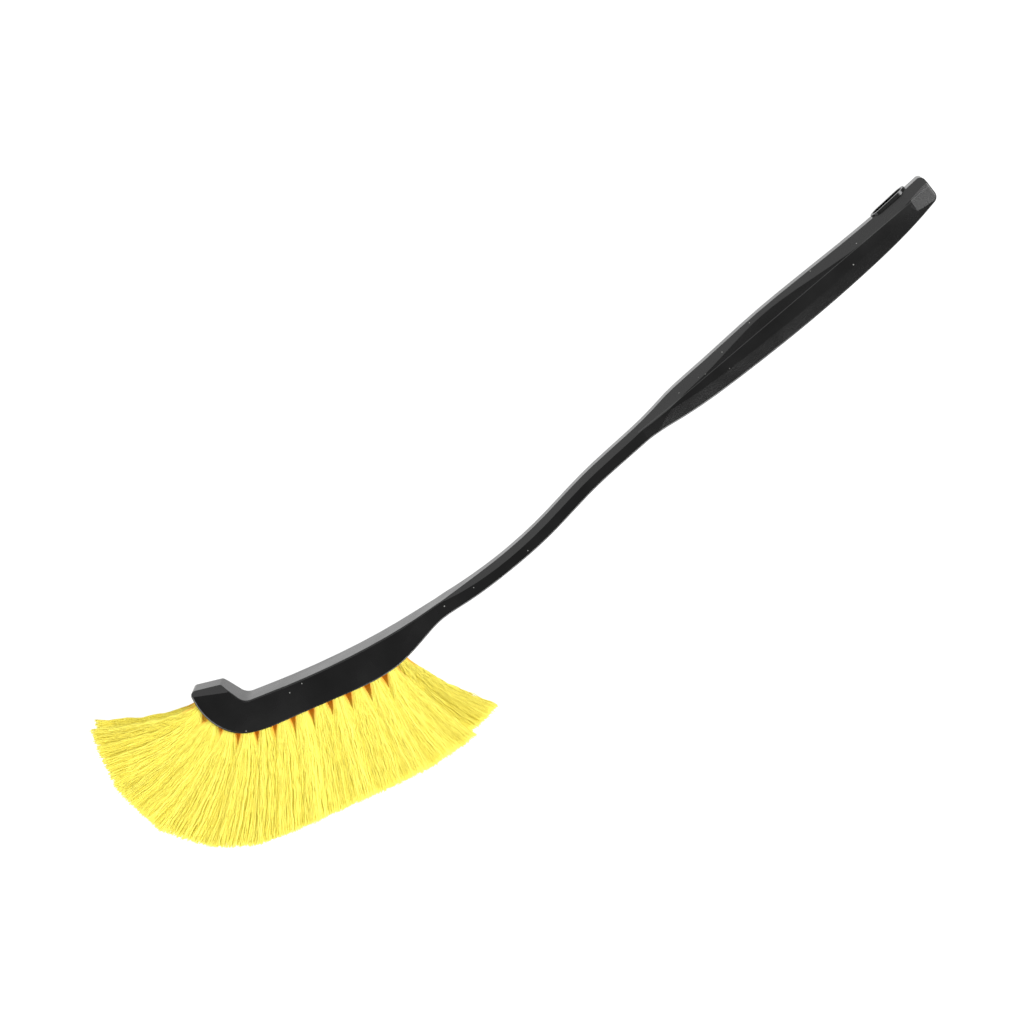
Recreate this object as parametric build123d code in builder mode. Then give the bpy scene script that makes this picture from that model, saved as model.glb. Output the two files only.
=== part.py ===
from build123d import *
import math
import os

# Wheel brush lying on its side. X runs from the bristle head (-X) to the end of the grip (+X),
# Y is the brush's upper side (the bristles point to -Y) and Z is its width. Millimetres.

# ---- Where the brush stands in the row frame ----
FAN_HALF_WIDTH = 11.5                  # half the width of the bristle fan at its tips, the widest part
BRUSH_X, BRUSH_Y = -5.7, 22.0          # puts the whole brush over the row's origin
ORIGIN = Vector(BRUSH_X, BRUSH_Y, FAN_HALF_WIDTH)
SIDE = Plane(origin=ORIGIN)            # side view: x along the brush, y up

# ---- Handle, seen from the side ----
TOP_LINE = (
    (-124.0, -4.3), (-97.0, -9.4), (-70.0, -12.4), (-40.0, -13.0), (-13.0, -11.7), (7.5, -8.6),
    (31.5, -3.1), (55.5, 0.7), (68.0, 3.0), (77.0, 5.2), (92.0, 7.5), (124.0, 12.2), (156.0, 15.3),
    (207.2, 21.5),
)
GRIP_BOTTOM_LINE = (
    (208.0, 11.0), (191.5, 6.4), (168.0, 2.0), (140.0, -1.7), (108.0, -4.5), (77.0, -5.3),
    (67.0, -5.0), (56.0, -6.2),
)
NECK_BOTTOM_LINE = (
    (32.5, -9.8), (8.5, -15.3), (-13.0, -18.3), (-35.0, -19.4), (-48.0, -19.6), (-60.0, -22.4),
)
BED_LINE = (
    (-72.0, -24.7), (-98.0, -22.3), (-122.0, -18.0), (-134.0, -15.4), (-143.0, -10.5),
    (-148.0, -3.0), (-149.7, 5.0), (-149.0, 13.0),
)
HOOK_TIP = (-136.6, 8.4)
HOOK_NOTCH = (-132.6, -2.4)
CORNER_RADII = (                       # corner, rounding
    (BED_LINE[-1], 2.0),
    (HOOK_TIP, 1.5),
    (HOOK_NOTCH, 5.0),
    (TOP_LINE[-1], 2.0),
    (GRIP_BOTTOM_LINE[0], 3.0),
)

# ---- Handle, seen from above: half widths ----
HEAD_HALF = 9.75
NECK_HALF = 6.9
GRIP_HALF = 9.5
END_HALF = 7.2
HEAD_X, NECK_X, SHOULDER_X, GRIP_X, TAPER_X, END_X = -72.0, -47.0, 62.0, 76.0, 197.0, 211.0
TAPER_STEP = (1.2, 0.8)                # the end narrows first by a short, steep bevel: along, in
NOSE_X = -152.0

# ---- Bevels and facets ----
HEAD_DRAFT = 9.5                       # degrees, the head narrows towards its top
HEAD_FALL = -8.25                      # degrees, slope of the head's own length
HEAD_DRAFT_START = (-160.0, -9.5)
PARTING_START = (60.0, -0.5)           # parting line along the grip's side
PARTING_SLOPE = 6.75                   # degrees
UPPER_FACET = 47.0                     # degrees from the grip's side to its upper facet
HOOK_FACET_START = (-152.0, 8.8)       # the hook's sides turn in above this line, along its top
HOOK_FACET_SLOPE = -20.4
HOOK_FACET = 30.0                      # degrees from the hook's side to its facet
HOOK_HALF = 7.8                        # half the hook's width at that line
HOOK_LENGTH = 30.0
FACET_IN = 7.0                         # no facet turns in by more than this
LOWER_FACET_RISE = 5.5                 # the lower facet starts this far above the grip's underside
LOWER_FACET_IN = 1.5                   # and turns in this much
LOWER_FACET_DROP = 4.3                 # over this drop
EDGE_RADIUS = 0.8
CROWN_FROM = 4                         # the crowned top follows TOP_LINE from this point on
CROWN_START = (-62.0, -10.0)           # and fades out here, above the head's top
CROWN_DROP = 4.0                       # it falls this much from its flat middle to the grip's sides
CROWN_FLAT = 3.2                       # half the width of the flat middle

# ---- Hanging slot through the end of the grip ----
SLOT_CENTRE = (192.0, 13.5)
SLOT_TILT = 9.0                        # degrees, along the grip's top
SLOT_LENGTH = 14.6
SLOT_WIDTH = 5.2
SLOT_RIM = 1.2                         # width of the raised rim around it
SLOT_RIM_TOP = 6.6                     # top of the rim above the slot's centre

# ---- Tufts ----
TUFT_PITCH = 8.2                       # along the straighter part of the bed
NOSE_PITCH = 7.5                       # round the nose
NOSE_PLACE = 8.0                       # pitches along the bed where the nose begins
NOSE_LENGTH = 41.9                     # bed line from there to its end at the hook
ROW_OFFSET = 5.6                       # outer rows from the middle row, at the bed
ROW_CLOSING = 0.12                     # they close in round the nose, by this times the pitches squared
TIP_ROW_OFFSET = 7.7                   # outer rows from the middle row, at the bristle tips
TIP_GAP = 0.4                          # between neighbouring tufts at their tips
MIDDLE_END = 12.0                      # past this place the middle row has no tufts
HOLE_RADIUS = 2.4
HOLE_DEPTH = 7.0
TUFT_CLEARANCE = 0.1                   # all round a tuft in its hole
FAN = (                                # pitches along the bed; lean from -Y towards -X of the hole
    (0.5, 1.0, -25.0, 43.5),           # and of the bristle tips; bristle length
    (1.5, 10.0, 0.0, 43.0),
    (2.5, 14.0, 10.0, 42.8),
    (4.5, 19.0, 21.0, 44.0),
    (7.0, 23.0, 27.5, 46.0),
    (9.0, 29.0, 38.0, 48.8),
    (10.0, 38.0, 49.0, 49.8),
    (11.0, 50.0, 65.0, 50.2),
    (12.0, 65.0, 85.0, 47.5),
    (13.0, 84.0, 110.5, 44.0),
)
HOLE_LEAN, TIP_LEAN, TIP_LENGTH = 1, 2, 3

# ---- Wire anchors across the bottoms of the holes ----
ANCHOR_LENGTH = 5.3
ANCHOR_HEIGHT = 2.0
ANCHOR_THICKNESS = 0.4
ANCHOR_CLEARANCE = 0.05

BIG = 80.0                             # length that is safely past the brush

os.makedirs("parts", exist_ok=True)


def save(part, name):
    part.label = name
    export_step(part, f"parts/{name}.step")


def facet_pair(start, slope, half, tilt, length):
    """Cuts both sides of the part being built, above a line that starts at a point in the side view."""
    rise = FACET_IN / math.tan(math.radians(tilt))
    end_view = Plane(
        origin=ORIGIN + Vector(*start),
        x_dir=(0, 0, -1),
        z_dir=Vector(1, 0, 0).rotate(Axis.Z, slope),
    )
    with BuildSketch(end_view, mode=Mode.PRIVATE) as profile:
        with BuildLine():
            Polyline(
                (half, 0),
                (half - FACET_IN, rise),
                (half - FACET_IN, 2 * rise),
                (2 * half, 2 * rise),
                (2 * half, 0),
                close=True,
            )
        make_face()
        mirror(about=Plane.YZ)
    extrude(profile.sketch, amount=length, mode=Mode.SUBTRACT)


# ---- Handle: one moulding with grip, neck, brush back and hook ----
with BuildPart() as handle:
    with BuildSketch(SIDE.offset(-BIG / 2)) as side_view:
        with BuildLine():
            top_line = Spline(*TOP_LINE)
            bottom_line = Spline(*GRIP_BOTTOM_LINE, *NECK_BOTTOM_LINE, *BED_LINE)
            Line(top_line @ 1, bottom_line @ 0)
            Polyline(bottom_line @ 1, HOOK_TIP, HOOK_NOTCH, top_line @ 0)
        make_face()
        for corner, radius in CORNER_RADII:
            fillet(side_view.vertices().sort_by_distance(Vector(*corner))[0], radius)
    extrude(amount=BIG)

    with BuildSketch(Plane(origin=ORIGIN + Vector(0, BIG, 0), x_dir=(1, 0, 0), z_dir=(0, -1, 0))):
        with BuildLine():
            Polyline(
                (NOSE_X, 0),
                (NOSE_X, HEAD_HALF),
                (HEAD_X, HEAD_HALF),
                (NECK_X, NECK_HALF),
                (SHOULDER_X, NECK_HALF),
                (GRIP_X, GRIP_HALF),
                (TAPER_X, GRIP_HALF),
                (TAPER_X + TAPER_STEP[0], GRIP_HALF - TAPER_STEP[1]),
                (END_X, END_HALF),
                (END_X, 0),
            )
            mirror(about=Plane.XZ)
        make_face()
    extrude(amount=2 * BIG, mode=Mode.INTERSECT)

    # Upper facets of the grip, above its parting line
    facet_pair(PARTING_START, PARTING_SLOPE, GRIP_HALF, UPPER_FACET, 2 * BIG)

    # Lower facets of the grip, parallel to its underside; head narrowed towards its top
    for side in (1, -1):
        lift = LOWER_FACET_RISE + LOWER_FACET_DROP
        with BuildSketch(SIDE.offset(side * (GRIP_HALF + LOWER_FACET_IN))):
            with BuildLine():
                facet_line = Spline(*[(x, y + lift) for x, y in GRIP_BOTTOM_LINE])
                neck_end = (facet_line @ 1).X
                Polyline(facet_line @ 1, (neck_end, -BIG), (END_X, -BIG), (END_X, BIG), facet_line @ 0)
            make_face()
        slant = Vector(0, -LOWER_FACET_DROP, -side * LOWER_FACET_IN)
        extrude(amount=3 * slant.length, dir=slant, mode=Mode.SUBTRACT)

        along_head = Vector(1, 0, 0).rotate(Axis.Z, HEAD_FALL)
        draft_start = ORIGIN + Vector(*HEAD_DRAFT_START, side * HEAD_HALF)
        wedge_height = side * BIG / 2
        wedge_in = BIG / 2 * math.tan(math.radians(HEAD_DRAFT))
        with BuildSketch(Plane(origin=draft_start, x_dir=(0, 0, side), z_dir=along_head)):
            with BuildLine():
                Polyline(
                    (0, 0),
                    (-wedge_in, -wedge_height),
                    (HEAD_HALF, -wedge_height),
                    (HEAD_HALF, 0),
                    close=True,
                )
            make_face()
        extrude(amount=1.5 * BIG, mode=Mode.SUBTRACT)

    # Small rounding along every edge of the two sides
    walls = handle.faces().filter_by(lambda face: abs(face.normal_at().Z) < 0.01)
    fillet(walls.edges().filter_by(lambda edge: abs((edge % 0.5).Z) < 0.5), EDGE_RADIUS)

    # The hook's sides turn in towards its top
    facet_pair(HOOK_FACET_START, HOOK_FACET_SLOPE, HOOK_HALF, HOOK_FACET, HOOK_LENGTH)

    # Crowned top of the neck and grip, fading out towards the head
    for side in (1, -1):
        with BuildSketch(SIDE.offset(side * GRIP_HALF)):
            with BuildLine():
                crown_line = Spline(CROWN_START, *[(x, y - CROWN_DROP) for x, y in TOP_LINE[CROWN_FROM:]])
                start, end = crown_line @ 0, crown_line @ 1
                Polyline(end, (BIG + END_X, end.Y), (BIG + END_X, BIG), (start.X, BIG), start)
            make_face()
        slant = Vector(0, CROWN_DROP, side * (CROWN_FLAT - GRIP_HALF))
        extrude(amount=2 * slant.length, dir=slant, mode=Mode.SUBTRACT)

    # Hanging slot with a raised rim on the grip's upper side
    slot_plane = Plane(
        origin=ORIGIN + Vector(*SLOT_CENTRE),
        x_dir=Vector(1, 0, 0).rotate(Axis.Z, SLOT_TILT),
        z_dir=Vector(0, 1, 0).rotate(Axis.Z, SLOT_TILT),
    )
    with BuildSketch(slot_plane):
        SlotOverall(SLOT_LENGTH + 2 * SLOT_RIM, SLOT_WIDTH + 2 * SLOT_RIM)
    extrude(amount=SLOT_RIM_TOP)
    with BuildSketch(slot_plane):
        SlotOverall(SLOT_LENGTH, SLOT_WIDTH)
    extrude(amount=BIG / 4, both=True, mode=Mode.SUBTRACT)


# ---- Where each tuft stands and points ----
def fan_value(pitches, column):
    """One column of FAN at a place along the bed, on straight lines between its rows."""
    for low, high in zip(FAN, FAN[1:]):
        if pitches <= high[0]:
            break
    share = (pitches - low[0]) / (high[0] - low[0])
    return low[column] + share * (high[column] - low[column])


def pointing(lean):
    """Unit vector in the side view that leans from -Y towards -X."""
    return Vector(-math.sin(math.radians(lean)), -math.cos(math.radians(lean)), 0)


bed = Spline(*GRIP_BOTTOM_LINE, *NECK_BOTTOM_LINE, *BED_LINE)


def bed_point(pitches, z):
    """Point on the bed, counted from the grip end of the bristles, z off the middle plane."""
    pitch = NOSE_PITCH if pitches > NOSE_PLACE else TUFT_PITCH
    to_end = NOSE_LENGTH + (NOSE_PLACE - pitches) * pitch
    along = bed.position_at(bed.length - to_end, PositionMode.LENGTH)
    return ORIGIN + Vector(along.X, along.Y, z)


def tip_point(pitches, z):
    return bed_point(pitches, z) + pointing(fan_value(pitches, TIP_LEAN)) * fan_value(pitches, TIP_LENGTH)


def hole_plane(pitches, side):
    """Plane at the mouth of a hole, pointing out of it; side is -1, 0 or 1 for the lower to upper row."""
    offset = ROW_OFFSET - ROW_CLOSING * max(0.0, pitches - NOSE_PLACE) ** 2
    way_out = pointing(fan_value(pitches, HOLE_LEAN))
    return Plane(origin=bed_point(pitches, side * offset), x_dir=(0, 0, 1), z_dir=way_out)


def tips_across(pitches, side):
    """Offset of a tuft's tips from the middle plane and half their width; the last pair fills the fan."""
    if pitches > MIDDLE_END:
        return side * FAN_HALF_WIDTH / 2, (FAN_HALF_WIDTH - TIP_GAP) / 2
    return side * TIP_ROW_OFFSET, FAN_HALF_WIDTH - TIP_ROW_OFFSET


ROWS = (                               # name, side of the middle row, first tuft's place, number of tufts
    ("lower", -1, 1.5, 12),
    ("middle", 0, 1.0, 11),
    ("upper", 1, 1.5, 12),
)


def anchor_shape(mouth, extra):
    """Flat wire across the bottom of a hole, grown by extra on every side."""
    with BuildPart(mouth.offset(-HOLE_DEPTH - extra)) as wire:
        Box(
            ANCHOR_THICKNESS + 2 * extra,
            ANCHOR_LENGTH + 2 * extra,
            ANCHOR_HEIGHT + 2 * extra,
            align=(Align.CENTER, Align.CENTER, Align.MIN),
        )
    return wire.part


# ---- Holes in the handle ----
with BuildPart() as drilled_handle:
    add(handle.part)
    for _, side, first, tufts in ROWS:
        for index in range(tufts):
            mouth = hole_plane(first + index, side)
            with BuildSketch(mouth.offset(HOLE_RADIUS)):
                Circle(HOLE_RADIUS)
            extrude(amount=-HOLE_DEPTH - HOLE_RADIUS, mode=Mode.SUBTRACT)
            add(anchor_shape(mouth, ANCHOR_CLEARANCE), mode=Mode.SUBTRACT)

save(drilled_handle.part, "handle")


# ---- Tufts and anchors ----
for row, side, first, tufts in ROWS:
    anchors = []
    for index in range(tufts):
        place = first + index
        mouth = hole_plane(place, side)
        anchors.append(anchor_shape(mouth, 0.0))
        tip_offset, tip_half_width = tips_across(place, side)
        grip_side = tip_point(place - 0.5, tip_offset)
        nose_side = tip_point(place + 0.5, tip_offset)
        across = nose_side - grip_side
        tip_plane = Plane(
            origin=(grip_side + nose_side) / 2,
            x_dir=(0, 0, 1),
            z_dir=across.cross(Vector(0, 0, 1)),
        )
        with BuildPart() as tuft:
            for plane in (mouth.offset(-HOLE_DEPTH), mouth):
                with BuildSketch(plane):
                    Circle(HOLE_RADIUS - TUFT_CLEARANCE)
            with BuildSketch(tip_plane):
                Ellipse(tip_half_width, (across.length - TIP_GAP) / 2)
            loft(ruled=True)
            add(anchor_shape(mouth, ANCHOR_CLEARANCE), mode=Mode.SUBTRACT)
        save(tuft.part, f"{row}_row_tuft_{index + 1:02d}")
    save(Compound(children=anchors), f"{row}_row_anchors")
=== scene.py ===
import math

import bpy
import numpy as np
from mathutils import Matrix, Vector


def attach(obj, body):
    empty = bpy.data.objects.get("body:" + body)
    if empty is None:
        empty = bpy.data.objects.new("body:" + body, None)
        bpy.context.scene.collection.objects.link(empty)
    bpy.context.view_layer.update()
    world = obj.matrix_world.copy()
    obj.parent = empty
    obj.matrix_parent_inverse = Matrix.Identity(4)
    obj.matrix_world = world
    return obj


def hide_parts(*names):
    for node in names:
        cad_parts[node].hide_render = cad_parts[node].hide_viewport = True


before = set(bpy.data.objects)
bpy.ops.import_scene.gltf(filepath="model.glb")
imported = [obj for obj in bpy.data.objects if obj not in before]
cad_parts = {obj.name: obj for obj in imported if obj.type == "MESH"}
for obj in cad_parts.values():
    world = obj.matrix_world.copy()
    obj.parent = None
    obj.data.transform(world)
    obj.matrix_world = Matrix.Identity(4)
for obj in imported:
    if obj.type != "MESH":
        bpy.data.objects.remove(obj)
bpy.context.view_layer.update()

MM = 0.001
BODY = "root"
TUFTS = {"lower": 12, "middle": 11, "upper": 12}   # in each row
UP = np.array((0.0, 0.0, 1.0))

# ---- Camera: where it stands and how it is turned ----
TARGET = Vector((-5.7, 22.0, 11.5)) * MM     # point at the middle of the picture
BRUSH_TURN = math.radians(34.35)             # the brush's X axis from the picture's right
CAMERA_TILT = math.radians(12.0)             # the camera looks a little from the brush's upper side
CAMERA_DISTANCE = 1.1
LENS = 96.68                                 # focal length in millimetres

# ---- Light and floor ----
WORLD_LIGHT = 0.2
SOFTBOX_DISTANCE = 1.6
SOFTBOXES = (                                # name, azimuth from X towards Y, elevation, side, watts
    ("softbox_front", -95.0, 16.0, 0.8, 22.0),
    ("softbox_left", 175.0, 35.0, 1.0, 21.0),
    ("softbox_right", -5.0, 47.0, 0.9, 28.0),
    ("softbox_back", 90.0, 38.0, 0.8, 3.0),
)
FLOOR_SIZE = 12.0
FLOOR_GAP = 0.5 * MM                         # it lies this far below the brush

# ---- Colours ----
WHITE = (1, 1, 1, 1)
BLACK = (0.003, 0.003, 0.003, 1)
LIGHTER_BLACK = (0.006, 0.006, 0.006, 1)
DUST = (0.22, 0.22, 0.21, 1)
PARTING_GREY = (0.03, 0.03, 0.03, 1)
DARKEST_YELLOW = (0.70, 0.60, 0.07, 1)
LIGHTEST_YELLOW = (0.93, 0.85, 0.16, 1)
# painted shade: dark orange where the tufts shade each other at their roots
ROOT_SHADE_ORANGE = (0.88, 0.27, 0.004, 1)
STEEL = (0.6, 0.6, 0.6, 1)
FLOOR_GREY = (0.1, 0.1, 0.1, 1)

# ---- Dust on the plastic: at most one round speck in each cell of a random pattern ----
DUST_CELLS = 300.0                           # cells in a metre
DUST_EDGE = (0.1, 0.06)                      # distances in cells where a speck starts and where it is full
DUST_ABOVE = 0.75                            # only cells with a random value above this have a speck

# ---- Line where the two halves of the handle's mould meet, along the grip's side ----
PARTING_X, PARTING_Y = 54.3 * MM, 21.5 * MM  # where it starts
PARTING_SLOPE = math.tan(math.radians(6.75))
PARTING_HALF = 0.14 * MM                     # half its width

# ---- Size and number of the fibres ----
SEED = 7
FIBRES_PER_TUFT = 620
FIBRE_RADIUS = 0.17 * MM
RADIUS_RANGE = (0.85, 1.15)                  # thinnest and thickest fibre, times that radius
FIBRE_SIDES = 3
FIBRE_RINGS = 22

# ---- How a tuft stands in its hole ----
HOLE_DEPTH = 7.0 * MM
ROOT_DEPTH = 4.0 * MM                        # fibres start this deep in their hole
FACES_READ = 6                               # the tuft solid's ends are among this many largest faces
FAR_SHARE = 0.8                              # faces beyond this share of its length are at its root
BEND_PLACE = 0.35                            # the bend's control point, as a share of the length

# ---- How a tuft spreads to its neighbours ----
HALF_PITCH = 4.0 * MM                        # half the distance between neighbouring tufts at the bed
FLARE = 14.5 * MM                            # it spreads evenly to its neighbours over this length
NOSE_FLARE = 4.0 * MM                        # and over this one round the nose
LIP = 0.2                                    # share of the spreading right at the mouth of the hole
NOSE_TUFT = 11                               # first tuft of the nose in the outer rows
END_TUFT = 12                                # last tuft of the outer rows
FLARE_OVER = 1.25                            # how far past its neighbours' edge it spreads

# ---- Strands, waves and cut tips ----
CLUMPS = 45                                  # strands that the fibres of a tuft gather in
CLUMP_REACH = 0.95                           # their middles stand within this share of the tuft
CLUMP_PULL = 0.12                            # share of the way that a fibre moves to its strand's middle
GATHER_SHARE = 0.5                           # share of the length over which it does
WAVES = (                                    # whose wave it is, height, waves along the bristle
    ("clump", 0.24 * MM, 3.0),
    ("fibre", 0.26 * MM, 5.0),
)
WAVES_RANGE = (0.7, 1.3)                     # fewest and most waves, times the number above
HEIGHT_RANGE = (0.4, 1.0)                    # lowest and highest wave, times the height above
WAVE_START = 0.25                            # share of the length over which the waves grow
TRIM = 0.35 * MM                             # unevenness of the cut tips
TRIM_BELOW = 0.7 * MM                        # they end this far short of the CAD solid, on average

# ---- Shades of the fibres, and the painted shade between the tufts ----
CLUMP_SHADE = 0.4                            # share of a fibre's shade that its whole strand has
ROOT_SHADE_LENGTH = 9.0 * MM                              # length of the painted shade, in deep orange, at the roots between the tufts
ROOT_SHADE_FROM = 0.7                              # share of a tuft's radius beyond which it starts
ROOT_SHADE_MOST = 0.8                              # strength of it at the tuft's edge


# ---- Materials ----
def new_material(name):
    """A material with its node tree and its shader."""
    material = bpy.data.materials.new(name)
    material.use_nodes = True
    return material, material.node_tree, material.node_tree.nodes["Principled BSDF"]


def fill(tree, node, inputs):
    """Links each of the node's inputs to the given socket, or sets it to the given value."""
    for name, value in inputs.items():
        if isinstance(value, bpy.types.NodeSocket):
            tree.links.new(value, node.inputs[name])
        else:
            node.inputs[name].default_value = value


def add_node(tree, kind, inputs, **settings):
    node = tree.nodes.new(kind)
    for name, value in settings.items():
        setattr(node, name, value)
    fill(tree, node, inputs)
    return node


def calculate(tree, operation, *values):
    node = add_node(tree, "ShaderNodeMath", dict(enumerate(values)), operation=operation)
    return node.outputs["Value"]


def mixed(tree, factor, first, second):
    """The first colour where the factor is 0, the second where it is 1."""
    inputs = {"Factor": factor, "A": first, "B": second}
    return add_node(tree, "ShaderNodeMix", inputs, data_type="RGBA").outputs["Result"]


def noise(tree, place, scale, detail):
    inputs = {"Vector": place, "Scale": scale, "Detail": detail}
    return add_node(tree, "ShaderNodeTexNoise", inputs).outputs["Fac"]


def map_range(tree, value, from_range, to_range):
    names = ("From Min", "From Max", "To Min", "To Max")
    inputs = {"Value": value, **dict(zip(names, from_range + to_range))}
    return add_node(tree, "ShaderNodeMapRange", inputs).outputs["Result"]


def painted(tree, name):
    """A value that paint() stored on the mesh."""
    return add_node(tree, "ShaderNodeAttribute", {}, attribute_name=name).outputs["Fac"]


def parting_line(tree, place):
    """Is 1 on the thin line along the grip's side where the mould's halves meet, 0 elsewhere."""
    split = add_node(tree, "ShaderNodeSeparateXYZ", {"Vector": place}).outputs
    y_at_zero = PARTING_Y - PARTING_SLOPE * PARTING_X
    line_y = calculate(tree, "MULTIPLY_ADD", split["X"], PARTING_SLOPE, y_at_zero)
    height = calculate(tree, "SUBTRACT", split["Y"], line_y)
    on_line = calculate(tree, "LESS_THAN", calculate(tree, "ABSOLUTE", height), PARTING_HALF)
    on_grip = calculate(tree, "GREATER_THAN", split["X"], PARTING_X)
    return calculate(tree, "MULTIPLY", on_line, on_grip)


def dust_specks(tree, place):
    """Is 1 on a few small round specks, 0 elsewhere."""
    cells = add_node(tree, "ShaderNodeTexVoronoi", {"Vector": place, "Scale": DUST_CELLS}).outputs
    speck = map_range(tree, cells["Distance"], from_range=DUST_EDGE, to_range=(0.0, 1.0))
    few = calculate(tree, "GREATER_THAN", cells["Color"], DUST_ABOVE)
    return calculate(tree, "MULTIPLY", speck, few)


def plastic_material():
    """Glossy black polypropylene with a fine grain, faint flow marks and a few specks of dust."""
    material, tree, shader = new_material("black_plastic")
    place = add_node(tree, "ShaderNodeTexCoord", {}).outputs["Object"]
    flow = noise(tree, place, scale=60.0, detail=4.0)
    grain = noise(tree, place, scale=900.0, detail=3.0)
    bumps = add_node(tree, "ShaderNodeBump", {"Height": grain, "Strength": 0.25, "Distance": 0.05 * MM})
    colour = mixed(tree, flow, BLACK, LIGHTER_BLACK)
    colour = mixed(tree, dust_specks(tree, place), colour, DUST)
    colour = mixed(tree, parting_line(tree, place), colour, PARTING_GREY)
    fill(tree, shader, {
        "Base Color": colour,
        "Roughness": map_range(tree, flow, from_range=(0.3, 0.7), to_range=(0.2, 0.3)),
        "Specular IOR Level": 0.42,
        "Normal": bumps.outputs["Normal"],
    })
    return material


def bristle_material():
    """Bright yellow filament: each one its own shade, with painted shade in deep orange between the tufts at
    the roots.
    """
    material, tree, shader = new_material("yellow_bristle")
    shades = add_node(tree, "ShaderNodeValToRGB", {"Fac": painted(tree, "shade")})
    shades.color_ramp.elements[0].color = DARKEST_YELLOW
    shades.color_ramp.elements[1].color = LIGHTEST_YELLOW
    # painted shade mixed in at the roots between the tufts
    colour = mixed(tree, painted(tree, "painted_root_shade"), shades.outputs["Color"], ROOT_SHADE_ORANGE)
    fill(tree, shader, {
        "Base Color": colour,
        # painted glow: a little emission in the bristle colour stands in for light that comes through the
        # filaments
        "Emission Color": colour,
        "Emission Strength": 0.18,
        "Roughness": 0.5,
        "Specular IOR Level": 0.3,
    })
    return material


def wire_material():
    """Bright drawn steel wire."""
    material, tree, shader = new_material("anchor_wire")
    grain = add_node(tree, "ShaderNodeTexNoise", {"Scale": 900.0}).outputs["Fac"]
    fill(tree, shader, {
        "Base Color": STEEL,
        "Metallic": 1.0,
        "Roughness": map_range(tree, grain, from_range=(0.0, 1.0), to_range=(0.25, 0.5)),
    })
    return material


def floor_material():
    """White sheet lit from below, so that it takes hardly any shadow."""
    material, tree, shader = new_material("white_floor")
    fill(tree, shader, {
        "Base Color": FLOOR_GREY,
        "Roughness": 0.9,
        "Specular IOR Level": 0.0,
        "Emission Color": WHITE,
        "Emission Strength": 1.0,
    })
    return material


def dress(piece, material):
    piece.data.materials.clear()
    piece.data.materials.append(material)


# ---- Where a tuft stands, read from its CAD solid ----
def read(items, name, parts, kind=np.float32):
    """One property of a mesh's vertices or loop triangles as an array with a row for each."""
    values = np.zeros(len(items) * parts, kind)
    items.foreach_get(name, values)
    return values.reshape(-1, parts)


def flat_faces(mesh):
    """The mesh's flat faces, largest first, each as its normal and its points."""
    mesh.calc_loop_triangles()
    points = read(mesh.vertices, "co", 3).astype(float)
    corners = read(mesh.loop_triangles, "vertices", 3, np.int32)
    areas = read(mesh.loop_triangles, "area", 1)[:, 0]
    normals = np.round(read(mesh.loop_triangles, "normal", 3).astype(float), 3)
    ways, group = np.unique(normals, axis=0, return_inverse=True)
    group = group.reshape(-1)
    sizes = np.bincount(group, weights=areas)
    largest = np.argsort(-sizes)[:FACES_READ]
    return [(ways[index], points[np.unique(corners[group == index])]) for index in largest]


def middle_of(points, *directions):
    """Middle of the points' extent along each of three directions."""
    return sum(way * ((points @ way).max() + (points @ way).min()) / 2 for way in directions)


def tuft_shape(mesh):
    """The two flat ends of a tuft's CAD solid: its cut tips, and its root at the bottom of the hole."""
    faces = flat_faces(mesh)
    tip_normal, tip = faces[0]
    depths = [((tip.mean(axis=0) - points) @ tip_normal).mean() for _, points in faces]
    far_faces = [face for face, depth in zip(faces, depths) if depth > FAR_SHARE * max(depths)]
    root_normal, root = max(far_faces, key=lambda face: np.ptp(face[1] @ UP))
    outward = -root_normal
    across_root = np.cross(outward, UP)
    across_tip = np.cross(tip_normal, UP)
    return {
        "outward": outward,
        "mouth": middle_of(root, outward, across_root, UP) + outward * HOLE_DEPTH,
        "root_radius": np.ptp(root @ UP) / 2,
        "across_root": across_root,
        "tip": middle_of(tip, tip_normal, across_tip, UP),
        "across_tip": across_tip,
        "half_across": np.ptp(tip @ across_tip) / 2,
        "half_width": np.ptp(tip @ UP) / 2,
    }


# ---- Paths of a tuft's fibres ----
# along is each ring's place as a share of the bristle's length: 0 at the mouth of the hole, 1 at the tip
# and below 0 in the hole. s is the same, but 0 in the hole.
def disk_points(rng, count, radius=1.0):
    angle = rng.uniform(0, 2 * math.pi, count)
    reach = radius * np.sqrt(rng.uniform(0, 1, count))
    return np.stack([reach * np.cos(angle), reach * np.sin(angle)], axis=1)


def centre_line(shape, length, along, s):
    """Straight out of the hole, then bending towards the middle of the cut tips."""
    control = shape["mouth"] + shape["outward"] * length * BEND_PLACE
    return (
        np.outer((1 - s) ** 2, shape["mouth"])
        + np.outer(2 * s * (1 - s), control)
        + np.outer(s ** 2, shape["tip"])
        - np.outer((s - along) * length, shape["outward"])
    )


def gather(rng, s):
    """Fibres in a disk, drawn together into strands: disk places, strand numbers, places at each ring."""
    disk = disk_points(rng, FIBRES_PER_TUFT)
    clumps = disk_points(rng, CLUMPS, CLUMP_REACH)
    clump = ((disk[:, None] - clumps[None]) ** 2).sum(axis=2).argmin(axis=1)
    pull = CLUMP_PULL * np.clip(s / GATHER_SHARE, 0, 1)[None, :, None]
    return disk, clump, disk[:, None] * (1 - pull) + clumps[clump][:, None] * pull


def reach_across(shape, length, along, s, flare, is_free):
    """How far the tuft spreads along the bed at each fibre and ring: straight to its tip on a free side."""
    root = shape["root_radius"]
    closed = np.where(along < 0, 0, np.clip(LIP + (1 - LIP) * s * length / flare, 0, 1))
    shared = HALF_PITCH + (shape["half_across"] - HALF_PITCH) * s
    flared = root * (1 - closed) + shared * FLARE_OVER * closed
    plain = root + (shape["half_across"] - root) * s
    return np.where(is_free, plain[None], flared[None])


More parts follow.
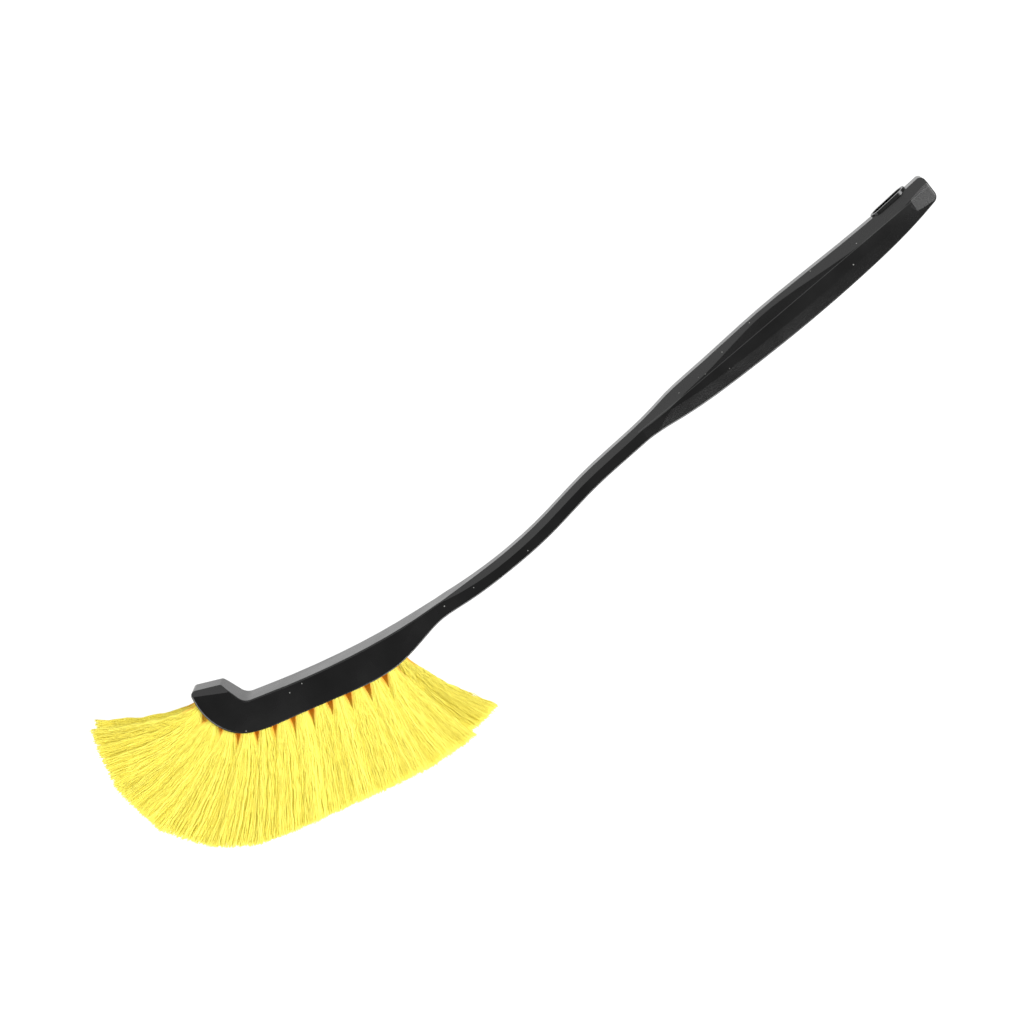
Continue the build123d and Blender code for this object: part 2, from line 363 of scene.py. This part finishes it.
def add_waves(paths, shape, length, s, clump, rng):
    """Adds the crimp of the strands and of the single fibres, in two directions."""
    grow = np.clip(s / WAVE_START, 0, 1)[None]
    side = np.cross(shape["tip"] - shape["mouth"], UP) / length
    owners = {"clump": (clump, CLUMPS), "fibre": (np.arange(FIBRES_PER_TUFT), FIBRES_PER_TUFT)}
    for owner_name, height, waves in WAVES:
        owner, owner_count = owners[owner_name]
        for direction in (side, UP):
            phase = rng.uniform(0, 2 * math.pi, owner_count)[owner][:, None]
            turns = rng.uniform(*WAVES_RANGE, owner_count)[owner][:, None] * waves
            size = rng.uniform(*HEIGHT_RANGE, owner_count)[owner][:, None] * height
            wave = size * np.sin(phase + 2 * math.pi * turns * s[None]) * grow
            paths = paths + wave[:, :, None] * direction
    return paths


def fibre_paths(shape, free_side, flare, rng):
    """Centre lines of one tuft's fibres (fibre, ring, xyz), distances along them, disk places, strands."""
    length = np.linalg.norm(shape["tip"] - shape["mouth"])
    along = np.concatenate([[-ROOT_DEPTH / length], np.linspace(0, 1, FIBRE_RINGS - 1)])
    s = np.clip(along, 0, None)

    disk, clump, place = gather(rng, s)
    width = shape["root_radius"] + (shape["half_width"] - shape["root_radius"]) * s
    reach = reach_across(shape, length, along, s, flare, np.sign(disk[:, 1:]) == free_side)
    turned = np.outer(1 - s, shape["across_root"]) + np.outer(s, shape["across_tip"])
    turned /= np.linalg.norm(turned, axis=1)[:, None]
    paths = (
        centre_line(shape, length, along, s)[None]
        + (place[:, :, 0] * width[None])[:, :, None] * UP
        + (place[:, :, 1] * reach)[:, :, None] * turned[None]
    )
    longer = rng.normal(-TRIM_BELOW / length, TRIM / length, FIBRES_PER_TUFT)
    paths += (paths - shape["mouth"]) * (longer[:, None] * s[None])[:, :, None]
    return add_waves(paths, shape, length, s, clump, rng), along * length, disk, clump


# ---- Bristles: one mesh of tubes for each tuft ----
def tube_points(paths, rng):
    """Rings of points round the paths: fibre, ring, corner, xyz."""
    way = np.gradient(paths, axis=1)
    way /= np.linalg.norm(way, axis=2)[:, :, None]
    side = np.cross(way, UP)
    side /= np.linalg.norm(side, axis=2)[:, :, None]
    other = np.cross(way, side)
    corners = 2 * math.pi * np.arange(FIBRE_SIDES) / FIBRE_SIDES
    angle = rng.uniform(0, 2 * math.pi, len(paths))[:, None, None] + corners
    radius = FIBRE_RADIUS * rng.uniform(*RADIUS_RANGE, len(paths))[:, None, None, None]
    round_about = np.cos(angle)[..., None] * side[:, :, None] + np.sin(angle)[..., None] * other[:, :, None]
    return paths[:, :, None] + radius * round_about


def tube_faces(count):
    """Walls and the two end caps of every fibre."""
    first = np.arange(count)[:, None] * FIBRE_RINGS * FIBRE_SIDES
    corner = np.arange(FIBRE_SIDES)
    following = (corner + 1) % FIBRE_SIDES
    rings = (first + np.arange(FIBRE_RINGS - 1)[None] * FIBRE_SIDES)[:, :, None]
    walls = [rings + corner, rings + following, rings + following + FIBRE_SIDES, rings + corner + FIBRE_SIDES]
    tips = first + (FIBRE_RINGS - 1) * FIBRE_SIDES + corner
    return np.stack(walls, axis=3).reshape(-1, 4).tolist() + (first + corner[::-1]).tolist() + tips.tolist()


def paint(mesh, name, values):
    """Stores one value for each fibre and ring on all the ring's points."""
    attribute = mesh.attributes.new(name, "FLOAT", "POINT")
    attribute.data.foreach_set("value", np.repeat(values.reshape(-1), FIBRE_SIDES).astype(np.float32))


def make_tuft(name, shape, hidden, free_side, flare, rng):
    """One tuft's fibres; a hidden tuft has painted shade at all its roots, the others at their edges."""
    paths, distance, disk, clump = fibre_paths(shape, free_side, flare, rng)
    mesh = bpy.data.meshes.new(name)
    mesh.from_pydata(tube_points(paths, rng).reshape(-1, 3).tolist(), [], tube_faces(len(paths)))
    mesh.shade_smooth()
    clump_shade = rng.uniform(0, 1, CLUMPS)[clump]
    shade = CLUMP_SHADE * clump_shade + (1 - CLUMP_SHADE) * rng.uniform(0, 1, len(paths))
    paint(mesh, "shade", np.repeat(shade[:, None], FIBRE_RINGS, axis=1))
    # painted shade near the roots, strongest where neighbouring tufts shade each other
    at_edge = np.clip((np.abs(disk[:, 1:]) - ROOT_SHADE_FROM) / (1 - ROOT_SHADE_FROM), 0, 1)
    strength = 1.0 if hidden else ROOT_SHADE_MOST * at_edge
    near_root = np.clip(1 - distance / ROOT_SHADE_LENGTH, 0, 1)
    paint(mesh, "painted_root_shade", strength * np.repeat(near_root[None], len(paths), axis=0))
    return bpy.data.objects.new(name, mesh)


def open_side(number):
    """The side on which a tuft has no neighbour: -1 towards the grip, 1 at the nose's end, 0 neither."""
    if number == 1:
        return -1
    return 1 if number == END_TUFT else 0


def make_bristles(material):
    rng = np.random.default_rng(SEED)
    for row, tufts in TUFTS.items():
        for number in range(1, tufts + 1):
            node = f"{row}_row_tuft_{number:02d}"
            flare = NOSE_FLARE if number >= NOSE_TUFT and row != "middle" else FLARE
            hidden = row == "middle" and number > 1
            shape = tuft_shape(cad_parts[node].data)
            name = f"{row}_bristles_{number:02d}"
            bristles = make_tuft(name, shape, hidden, open_side(number), flare, rng)
            bpy.context.scene.collection.objects.link(bristles)
            dress(bristles, material)
            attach(bristles, BODY)
            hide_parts(node)


# ---- Stage, light and camera ----
def make_floor():
    bpy.ops.mesh.primitive_plane_add(size=FLOOR_SIZE, location=(0, 0, -FLOOR_GAP))
    floor = bpy.context.object
    floor.name = "floor"
    dress(floor, floor_material())


def make_softbox(name, azimuth, elevation, size, power):
    """A square softbox aimed at the brush."""
    turn, rise = math.radians(azimuth), math.radians(elevation)
    way = Vector((math.cos(turn) * math.cos(rise), math.sin(turn) * math.cos(rise), math.sin(rise)))
    light = bpy.data.lights.new(name, "AREA")
    light.shape = "SQUARE"
    light.size = size
    light.energy = power
    lamp = bpy.data.objects.new(name, light)
    lamp.location = way * SOFTBOX_DISTANCE
    lamp.rotation_mode = "QUATERNION"
    lamp.rotation_quaternion = way.to_track_quat("Z", "Y")
    bpy.context.scene.collection.objects.link(lamp)


def make_light():
    world = bpy.data.worlds.new("studio")
    world.use_nodes = True
    fill(world.node_tree, world.node_tree.nodes["Background"], {"Color": WHITE, "Strength": WORLD_LIGHT})
    bpy.context.scene.world = world
    for softbox in SOFTBOXES:
        make_softbox(*softbox)


def make_camera():
    right = Vector((math.cos(BRUSH_TURN), -math.sin(BRUSH_TURN), 0))
    picture_up = Vector((math.sin(BRUSH_TURN), math.cos(BRUSH_TURN), 0))
    back = math.cos(CAMERA_TILT) * Vector((0, 0, 1)) + math.sin(CAMERA_TILT) * picture_up
    up = back.cross(right)
    turned = Matrix((right, up, back)).transposed().to_4x4()
    camera = bpy.data.objects.new("camera", bpy.data.cameras.new("camera"))
    camera.data.lens = LENS
    camera.matrix_world = Matrix.Translation(TARGET + back * CAMERA_DISTANCE) @ turned
    bpy.context.scene.collection.objects.link(camera)
    bpy.context.scene.camera = camera


dress(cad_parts["handle"], plastic_material())
wire = wire_material()
for row in TUFTS:
    dress(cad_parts[f"{row}_row_anchors"], wire)
make_bristles(bristle_material())
make_floor()
make_light()
make_camera()
bpy.context.scene.view_settings.view_transform = "Standard"
